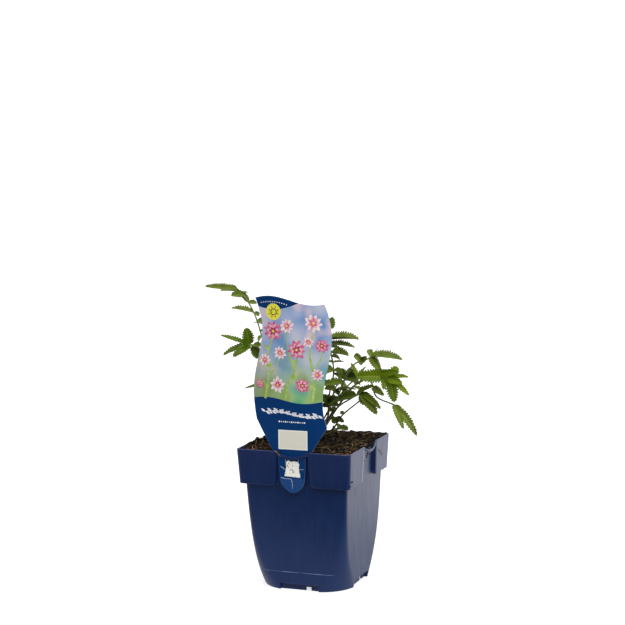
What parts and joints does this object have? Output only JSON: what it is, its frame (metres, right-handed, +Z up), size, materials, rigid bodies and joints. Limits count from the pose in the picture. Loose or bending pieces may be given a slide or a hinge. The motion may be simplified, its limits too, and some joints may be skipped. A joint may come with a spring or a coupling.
{
  "type": "potted great burnet plant",
  "caption": "Young great burnet with toothed pinnate leaves in a square nursery pot of peat soil, with a wavy plastic plant label in the pot's slot.",
  "frame": {"origin": "on the surface the pot stands on, under the pot's centre", "axes": "+Z up the plant, -Y out of the side of the pot that carries the label, +X to the right of the label as it is read"},
  "size_m": [0.2133, 0.1128, 0.2747],
  "materials": {
    "pot": "moulded navy polypropylene, satin, a little dusty",
    "soil": "coarse dark peat with pale fibres",
    "crown": "rough brown rootstock",
    "leaf_young": "yellow-green, satin",
    "leaf_fresh": "fresh green, satin",
    "leaf_mid": "mid green, satin",
    "leaf_deep": "dark green, satin",
    "label": "printed plastic sheet, navy, pink, blue-green and yellow",
    "paper": "torn uncoated paper"
  },
  "bodies": {
    "root": {"pot": "pot", "soil": "soil", "crown": "crown", "leaf_tall_left": "leaf_mid", "leaf_low_left": "leaf_fresh", "leaf_small_left": "leaf_mid", "leaf_upright": "leaf_mid", "leaf_high_right": "leaf_mid", "leaf_young": "leaf_young", "leaf_fore_right": "leaf_mid", "leaf_arching": "leaf_mid", "leaf_inner_right": "leaf_deep", "leaf_flat_right": "leaf_deep", "leaf_low_right": "leaf_deep", "leaf_thread": "leaf_fresh", "leaf_basal": "leaf_deep", "leaf_basal_right": "leaf_mid", "leaf_back_left": "leaf_mid", "leaf_back_tall": "leaf_mid", "leaf_back_right": "leaf_mid", "leaf_behind_label": "leaf_fresh", "label": "label", "paper_scrap": "paper"}
  },
  "joints": []
}
